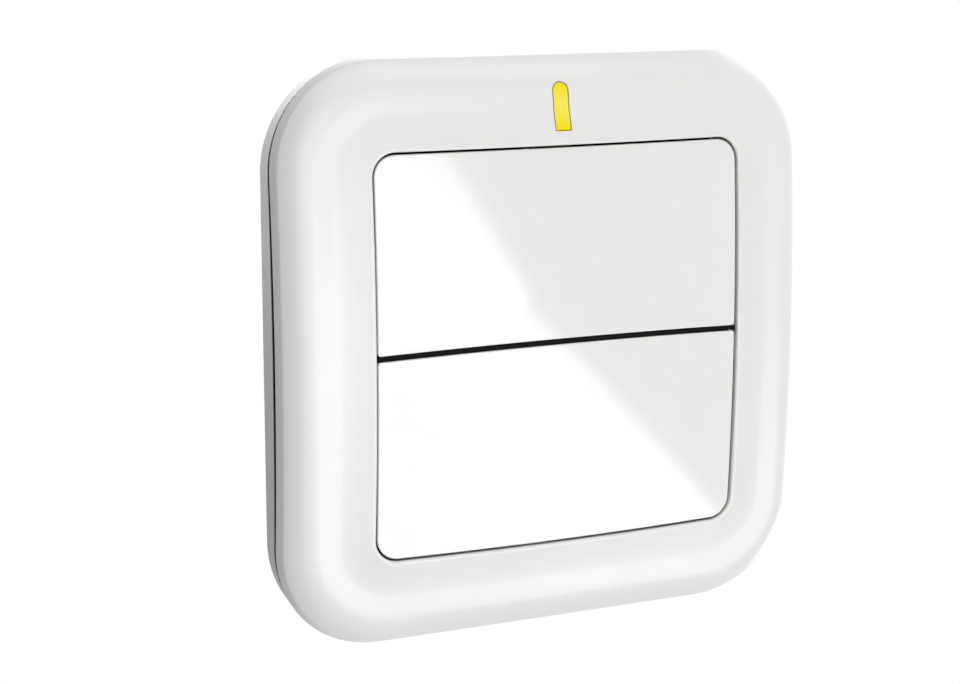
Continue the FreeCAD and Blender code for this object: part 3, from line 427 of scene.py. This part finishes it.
def key_cap(name, inner, outer):
    """Domed cap: skirt, side wall, rounded edge, and a face of ever smaller rings."""
    low, high = min(inner, outer), max(inner, outer)
    upper, lower = KEY_CORNER, KEY_INNER_CORNER
    if outer < inner:
        upper, lower = lower, upper

    def ring(inset, drop=None, depth=None):
        radii = [max(radius - inset, KEY_LEAST_CORNER) for radius in (upper, upper, lower, lower)]
        points = []
        for x, z in outline(-HALF_KEY + inset, low + inset, HALF_KEY - inset, high - inset, radii):
            z += gap_arch(x) * (outer - z) / (outer - inner)
            points.append(Vector((x, -(depth or key_face(x, z) - drop), z)) * MM)
        return points

    rings = [ring(KEY_SIDE_WALL, KEY_FACE_WALL), ring(KEY_SIDE_WALL, depth=KEY_SKIRT_DEPTH),
             ring(KEY_DRAFT + KEY_SKIRT_BEVEL, depth=KEY_SKIRT_DEPTH),
             ring(KEY_DRAFT, depth=KEY_SKIRT_DEPTH + KEY_SKIRT_BEVEL), ring(0, KEY_EDGE_FOOT)]
    for step in range(KEY_EDGE_STEPS + 1):
        angle = step * math.pi / (2 * KEY_EDGE_STEPS)
        rings.append(ring(KEY_EDGE * (1 - math.cos(angle)), KEY_EDGE * (1 - math.sin(angle))))
    rings += [ring(inset, 0) for inset in KEY_FACE_INSETS]
    cap = ring_mesh(name, rings, capped=True)
    dome_normals(cap)
    return cap


white_abs_keys = glossy_abs("white_abs_keys", "#E9E9E7", "#E7E7E5", 0.08)
upper_cap = key_cap("upper_key_cap", GAP_HEIGHT + HALF_GAP, KEY_TOP)
lower_cap = key_cap("lower_key_cap", GAP_HEIGHT - HALF_GAP, KEY_BOTTOM)
for cap, body in ((upper_cap, "upper_key"), (lower_cap, "lower_key")):
    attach(cap, body)
    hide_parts(body)
    dress(white_abs_keys, cap)

# Status window. A moulded light guide of clear yellow plastic that stands flush in its slot; the
# light source on the board sits behind its lower end. A paler band across the middle of the face
# is a painted highlight, the light that the face mirrors. Each ring of its mesh has an inset from
# the slot's edge and a drop behind the margin.
LENS_RINGS = ((0.03, 4.0), (0.03, 0.12), (0.07, 0.06), (0.11, 0.03), (0.15, 0.02), (0.45, 0.02),
              (0.8, 0.02))
PAINTED_HIGHLIGHT_RISE = (29.8, 32.4)
PAINTED_HIGHLIGHT_FALL = (35.8, 33.4)
GUIDE_IOR = 1.49


def margin_face(x, z):
    """Depth of the frame's front at a place of its upper side."""
    lift = OPENING_RISE - OPENING_SQUEEZE
    span = HALF_FRAME - HALF_OPENING
    reach = (z - lift * HALF_FRAME / span) / (1 - lift / span)
    if reach > SHOULDER_END:
        share = (reach - SHOULDER_END) / (HALF_FRAME - BAND_INSET - SHOULDER_END)
        depth = MARGIN_DEPTH - (MARGIN_DEPTH - FRONT_EDGE) * share ** SHOULDER_POWER
    else:
        share = max(COVE_START - reach, 0) / (COVE_START - HALF_OPENING - LIP_ROUND)
        depth = MARGIN_DEPTH + (LIP_DEPTH - MARGIN_DEPTH) * share ** COVE_POWER
    crown = FRAME_CROWN * (1 - ((reach - HALF_OPENING) / span) ** CROWN_POWER)
    return depth - sag(z, FRAME_BOW) + crown * (1 - (x / reach) ** 2)


lens_rings = [[Vector((x, drop - margin_face(x, z), z)) * MM for x, z in slot_line(inset)]
              for inset, drop in LENS_RINGS]
lens = ring_mesh("status_window", lens_rings, capped=True)
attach(lens, "base")
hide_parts("indicator_lens")
yellow, tree, place = material("yellow_clear_guide_with_painted_highlight")
height = add(tree, "ShaderNodeSeparateXYZ", links={"Vector": place}).outputs["Z"]
# Painted highlight: the face turns a paler yellow in a band across its middle.
rise, fall = [add(tree, "ShaderNodeMapRange", {"From Min": dim * MM, "From Max": bright * MM},
                  {"Value": height}) for dim, bright in (PAINTED_HIGHLIGHT_RISE, PAINTED_HIGHLIGHT_FALL)]
painted_highlight = add(tree, "ShaderNodeMath", {"operation": "MULTIPLY"},
           {0: rise.outputs["Result"], 1: fall.outputs["Result"]})
tint = add(tree, "ShaderNodeMixRGB", {"Color1": linear("#F4E200"), "Color2": linear("#F7EA58")},
           {"Fac": painted_highlight.outputs["Value"]})
shader = add(tree, "ShaderNodeBsdfPrincipled",
             {"IOR": GUIDE_IOR, "Roughness": 0.12, "Specular IOR Level": 0.15},
             {"Base Color": tint.outputs["Color"]})
add(tree, "ShaderNodeOutputMaterial", links={"Surface": shader.outputs["BSDF"]})
dress(yellow, lens)

# Rim of the window. The same moulded guide; its rounded edge is painted in brown shade, the shadow
# of the fine gap round the face, and shows as a thin brown line. It takes the faces between the
# outer rings.
RIM_RINGS = 4
# Painted shade: brown for the shadow of the fine gap round the window.
painted_edge_shade, tree, place = material("yellow_guide_painted_edge_shade")
clouded(tree, place, 1.2, 1.0, "#7A6A10", "#9A8722", {"IOR": GUIDE_IOR, "Roughness": 0.4})
lens.data.materials.append(painted_edge_shade)
for face in lens.data.polygons:
    if face.index < RIM_RINGS * len(slot_line(0)):
        face.material_index = 1

# Chassis. Black ABS with a fine spark-eroded mould texture; it clips into the wall plate and
# carries the board, the keys and, behind the middle gap, the stop bar.
black_abs, tree, place = material("black_abs_textured")
spark = add(tree, "ShaderNodeTexNoise", {"Scale": 1 / (0.25 * MM), "Detail": 2.0},
            {"Vector": place})
bump = add(tree, "ShaderNodeBump", {"Strength": 0.3, "Distance": 0.03 * MM},
           {"Height": spark.outputs["Fac"]})
shader = add(tree, "ShaderNodeBsdfPrincipled",
             {"Base Color": linear("#070707"), "Roughness": 0.7, "IOR": ABS_IOR,
              "Specular IOR Level": 0.08},
             {"Normal": bump.outputs["Normal"]})
add(tree, "ShaderNodeOutputMaterial", links={"Surface": shader.outputs["BSDF"]})
dress(black_abs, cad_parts["chassis"])

# Stop bar. A black strip behind the keys that plugs into the chassis with two feet. Its thin web
# fills the gap between the keys almost to their faces, so no light gets in or out there. Its
# strip and feet are boxes: left, right, low, high, near the wall and far from it.
WEB_HALF = 0.24
WEB_REACH = 27.35
WEB_DROP = 0.12
WEB_ROOT = 6.6
WEB_STEPS = 40
STRIP_AND_FEET = ((-28.3, 28.3, -0.6, 2.4, 6.3, 6.9), (22.2, 22.9, -0.6, 2.4, 1.6, 6.5),
                  (-22.9, -22.2, -0.6, 2.4, 1.6, 6.5))
bar_mesh = bmesh.new()
web_rings = []
for number in range(WEB_STEPS + 1):
    x = WEB_REACH * (2 * number / WEB_STEPS - 1)
    middle = GAP_HEIGHT + gap_arch(x)
    front = WEB_DROP - key_face(x, middle)
    web_rings.append([Vector((x, y, middle + side * WEB_HALF)) * MM for y, side in (
        (-WEB_ROOT, -1), (front, -1), (front, 1), (-WEB_ROOT, 1))])
join_rings(bar_mesh, web_rings, capped=True)
for left, right, low, high, near, far in STRIP_AND_FEET:
    corners = ((left, low), (left, high), (right, high), (right, low))
    join_rings(bar_mesh, [flat_ring(corners, depth) for depth in (near, far)], capped=True)
stop_bar = finished("stop_bar_with_web", bar_mesh)
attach(stop_bar, "base")
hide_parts("key_stop_bar")
dress(black_abs, stop_bar)

# Circuit board. Glass-fibre laminate under green solder mask. Copper tracks 0.6 mm wide show
# through the mask as paler lines, and a fine weave of 0.5 mm dulls the gloss.
mask, tree, place = material("green_solder_mask")
bend = add(tree, "ShaderNodeTexNoise", {"Scale": 1 / (9 * MM), "Detail": 1.0}, {"Vector": place})
track = add(tree, "ShaderNodeTexWave",
            {"Scale": 1 / (8 * MM), "Distortion": 6.0, "Detail": 0.0}, {"Vector": place})
copper = add(tree, "ShaderNodeMapRange", {"From Min": 0.55, "From Max": 0.6},
             {"Value": track.outputs["Fac"]})
region = add(tree, "ShaderNodeMapRange", {"From Min": 0.48, "From Max": 0.52},
             {"Value": bend.outputs["Fac"]})
both = add(tree, "ShaderNodeMath", {"operation": "MULTIPLY"},
           {0: copper.outputs["Result"], 1: region.outputs["Result"]})
tint = add(tree, "ShaderNodeMixRGB", {"Color1": linear("#0F4A26"), "Color2": linear("#2B7A45")},
           {"Fac": both.outputs["Value"]})
weave = add(tree, "ShaderNodeTexChecker", {"Scale": 1 / (0.5 * MM)}, {"Vector": place})
bump = add(tree, "ShaderNodeBump", {"Strength": 0.15, "Distance": 0.02 * MM},
           {"Height": weave.outputs["Fac"]})
shader = add(tree, "ShaderNodeBsdfPrincipled", {"Roughness": 0.35, "IOR": 1.5},
             {"Base Color": tint.outputs["Color"], "Normal": bump.outputs["Normal"]})
add(tree, "ShaderNodeOutputMaterial", links={"Surface": shader.outputs["BSDF"]})
dress(mask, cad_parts["circuit_board"])

# Push switches. Each has a moulded body and plunger of black nylon, mottled by its glass fibres
# 0.3 mm long, under a stamped steel cover; its legs are soldered to the board.
nylon, tree, place = material("black_nylon_glass_filled")
clouded(tree, place, 0.3, 3.0, "#161617", "#262628", {"Roughness": 0.55, "IOR": 1.53})
for name in ("upper_switch_body", "lower_switch_body", "upper_switch_plunger",
             "lower_switch_plunger"):
    dress(nylon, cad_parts[name])

# Stamped sheet: switch covers, cell contacts and the can of the crystal. Bright tinned steel,
# rolled, stamped and folded, with faint rolling lines 0.4 mm apart.
ALONG_THE_ROLLING = 0.08
tinned, tree, place = material("tinned_steel_rolled")
along = add(tree, "ShaderNodeMapping", {"Scale": (1, 1, ALONG_THE_ROLLING)}, {"Vector": place})
lines, shader = clouded(tree, along.outputs["Vector"], 0.4, 2.0, "#CFCFCB", "#E3E3E0",
                        {"Metallic": 1.0})
gloss = add(tree, "ShaderNodeMapRange", {"To Min": 0.22, "To Max": 0.36},
            {"Value": lines.outputs["Fac"]})
tree.links.new(gloss.outputs["Result"], shader.inputs["Roughness"])
for name in ("upper_switch_cover", "lower_switch_cover", "battery_positive_clip",
             "battery_negative_contact", "crystal"):
    dress(tinned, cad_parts[name])

# Coin cell. Nickel-plated steel can, drawn and lightly tumbled, so its gloss is cloudy at 1.5 mm.
# It lies in the well of the chassis, between its two contacts.
nickel, tree, place = material("nickel_plated_cell_can")
clouds, shader = clouded(tree, place, 1.5, 4.0, "#C9C8C3", "#DAD9D5", {"Metallic": 1.0})
gloss = add(tree, "ShaderNodeMapRange", {"To Min": 0.26, "To Max": 0.42},
            {"Value": clouds.outputs["Fac"]})
tree.links.new(gloss.outputs["Result"], shader.inputs["Roughness"])
dress(nickel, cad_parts["coin_cell"])

# Status light. A cast block of cream diffusing epoxy with a faint cloudiness of 0.8 mm, soldered
# to the board's tongue behind the window.
epoxy, tree, place = material("cream_diffusing_epoxy")
clouded(tree, place, 0.8, 2.0, "#EFE8C8", "#F4EFDC", {"Roughness": 0.3, "IOR": 1.5})
dress(epoxy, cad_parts["status_led"])

# Controller and transmitter. Black moulding compound, pressed round the chips, with a matt
# surface finely pitted at 0.2 mm; their legs are soldered to the board.
compound, tree, place = material("black_moulding_compound")
pits, shader = clouded(tree, place, 0.2, 3.0, "#1E1E20", "#2E2E30", {"Roughness": 0.7, "IOR": 1.5})
bump = add(tree, "ShaderNodeBump", {"Strength": 0.3, "Distance": 0.02 * MM},
           {"Height": pits.outputs["Fac"]})
tree.links.new(bump.outputs["Normal"], shader.inputs["Normal"])
dress(compound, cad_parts["microcontroller"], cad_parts["transmitter_chip"])

# Chip resistors and capacitors. Pressed and fired ceramic, dull and mottled at 0.6 mm, soldered
# to the board by their ends.
ceramic, tree, place = material("fired_brown_ceramic")
clouded(tree, place, 0.6, 3.0, "#A38C68", "#C0AC86", {"Roughness": 0.6, "IOR": 1.6})
dress(ceramic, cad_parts["chip_components"])

# Antenna coil. Drawn copper wire under clear enamel, wound on a rod and soldered to the board; it
# tarnishes unevenly at about 1 mm.
wire, tree, place = material("enamelled_copper_wire")
clouded(tree, place, 1.0, 2.0, "#B4653A", "#D58A58", {"Metallic": 1.0, "Roughness": 0.28})
dress(wire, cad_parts["antenna_coil"])

# Board screws. Cold-headed steel, zinc plated, with the faint bluish spangle of its passivation
# 0.8 mm coarse. They hold the board on the bosses of the chassis.
zinc, tree, place = material("zinc_plated_steel")
spangle = add(tree, "ShaderNodeTexVoronoi", {"Scale": 1 / (0.8 * MM)}, {"Vector": place})
tint = add(tree, "ShaderNodeMixRGB", {"Color1": linear("#C4C8CC"), "Color2": linear("#D6D8D6")},
           {"Fac": spangle.outputs["Distance"]})
shader = add(tree, "ShaderNodeBsdfPrincipled", {"Metallic": 1.0, "Roughness": 0.32},
             {"Base Color": tint.outputs["Color"]})
add(tree, "ShaderNodeOutputMaterial", links={"Surface": shader.outputs["BSDF"]})
dress(zinc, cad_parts["board_screws"])

# Floor and room of the studio: a floor of pale rolled paint, faintly uneven, two metres below the
# switch, in a plain white room. The camera, mirrors and clear pieces see both as white; all else
# gets the floor's own shade and a low fill from the room.
FLOOR_REACH = 6.0
FLOOR_HEIGHT = -2.0
ROOM_FILL = 0.08


def background_rays(tree):
    """One for rays that show the background: from the camera, a mirror or a clear piece."""
    paths = add(tree, "ShaderNodeLightPath")
    straight = add(tree, "ShaderNodeMath", {"operation": "ADD", "use_clamp": True},
                   {0: paths.outputs["Is Camera Ray"], 1: paths.outputs["Is Glossy Ray"]})
    shown = add(tree, "ShaderNodeMath", {"operation": "ADD", "use_clamp": True},
                {0: straight.outputs["Value"], 1: paths.outputs["Is Transmission Ray"]})
    return shown.outputs["Value"]


floor_mesh = bmesh.new()
bmesh.ops.create_grid(floor_mesh, x_segments=1, y_segments=1, size=FLOOR_REACH)
floor = finished("studio_floor", floor_mesh)
floor.location = (0, 0, FLOOR_HEIGHT)
floor_paint, tree, place = material("pale_floor_paint")
mottle = add(tree, "ShaderNodeTexNoise", {"Scale": 3.0}, {"Vector": place})
tint = add(tree, "ShaderNodeMixRGB", {"Color1": linear("#F4F4F4"), "Color2": linear("#FAFAFA")},
           {"Fac": mottle.outputs["Fac"]})
diffuse = add(tree, "ShaderNodeBsdfDiffuse", links={"Color": tint.outputs["Color"]})
white = add(tree, "ShaderNodeEmission", {"Color": linear("#FFFFFF"), "Strength": 1.0})
mixed = add(tree, "ShaderNodeMixShader", links={
    "Fac": background_rays(tree), 1: diffuse.outputs["BSDF"], 2: white.outputs["Emission"]})
add(tree, "ShaderNodeOutputMaterial", links={"Surface": mixed.outputs["Shader"]})
dress(floor_paint, floor)

world = bpy.data.worlds.new("studio")
world.use_nodes = True
bpy.context.scene.world = world
tree = world.node_tree
tree.nodes.clear()
strength = add(tree, "ShaderNodeMapRange", {"To Min": ROOM_FILL, "To Max": 1.0},
               {"Value": background_rays(tree)})
room = add(tree, "ShaderNodeBackground", {"Color": linear("#FFFFFF")},
           {"Strength": strength.outputs["Result"]})
add(tree, "ShaderNodeOutputWorld", links={"Surface": room.outputs["Background"]})

# Lamps. Six soft boxes stand round the switch. The first two lie together along the diagonal that
# the glossy keys mirror, the next two light the front and the top, and the last two the sides
# that other views show.
SOFTBOX_DISTANCE = 1.5
WATTS_FOR_RADIANCE = 4


def softbox(name, azimuth, elevation, wide, high, radiance, lean=0):
    """Area light that faces the switch. It stands azimuth degrees to the right of straight ahead,
    looks wide by high degrees large from the switch, and leans clockwise as the switch sees it."""
    a, e = math.radians(azimuth), math.radians(elevation)
    towards = Vector((math.sin(a) * math.cos(e), -math.cos(a) * math.cos(e), math.sin(e)))
    lamp = bpy.data.lights.new(name, "AREA")
    lamp.shape = "RECTANGLE"
    lamp.size = 2 * SOFTBOX_DISTANCE * math.tan(math.radians(wide / 2))
    lamp.size_y = 2 * SOFTBOX_DISTANCE * math.tan(math.radians(high / 2))
    lamp.energy = WATTS_FOR_RADIANCE * radiance * lamp.size * lamp.size_y
    made = bpy.data.objects.new(name, lamp)
    made.location = towards * SOFTBOX_DISTANCE
    made.rotation_mode = "QUATERNION"
    turn = Quaternion((0, 0, 1), math.radians(lean))
    made.rotation_quaternion = towards.to_track_quat("Z", "Y") @ turn
    bpy.context.scene.collection.objects.link(made)


softbox("key_softbox", 20.7, -20.8, 52, 24, 3.4, lean=-41)
softbox("key_wing", 16.4, -2.7, 16, 8, 3.4, lean=-56)
softbox("front_softbox", -20, 8, 34, 70, 1.35)
softbox("top_softbox", 10, 80, 60, 40, 1.5)
softbox("right_softbox", 112, 8, 36, 80, 2.0)
softbox("rear_softbox", 165, 20, 50, 60, 1.8)

# Camera, fitted to the photograph: its turn and height round the switch in degrees, its distance
# and how far its aim lies across and up in millimetres, and its long lens.
CAMERA_AZIMUTH = -25.482
CAMERA_ELEVATION = 10.869
CAMERA_DISTANCE = 308.384
CAMERA_ACROSS = 6.927
CAMERA_UP = 0.774
FOCAL_MM = 82.69
SENSOR_MM = 36
azimuth, elevation = math.radians(CAMERA_AZIMUTH), math.radians(CAMERA_ELEVATION)
back = Vector((math.sin(azimuth) * math.cos(elevation), -math.cos(azimuth) * math.cos(elevation),
               math.sin(elevation)))
right = Vector((math.cos(azimuth), math.sin(azimuth), 0))
up = back.cross(right)
camera_data = bpy.data.cameras.new("camera")
camera_data.lens = FOCAL_MM
camera_data.sensor_width = SENSOR_MM
camera_data.clip_start, camera_data.clip_end = 0.01, 20
camera = bpy.data.objects.new("camera", camera_data)
camera.location = (back * CAMERA_DISTANCE - right * CAMERA_ACROSS - up * CAMERA_UP) * MM
camera.rotation_mode = "QUATERNION"
camera.rotation_quaternion = back.to_track_quat("Z", "Y")
bpy.context.scene.collection.objects.link(camera)
bpy.context.scene.camera = camera
bpy.context.scene.view_settings.view_transform = "Standard"
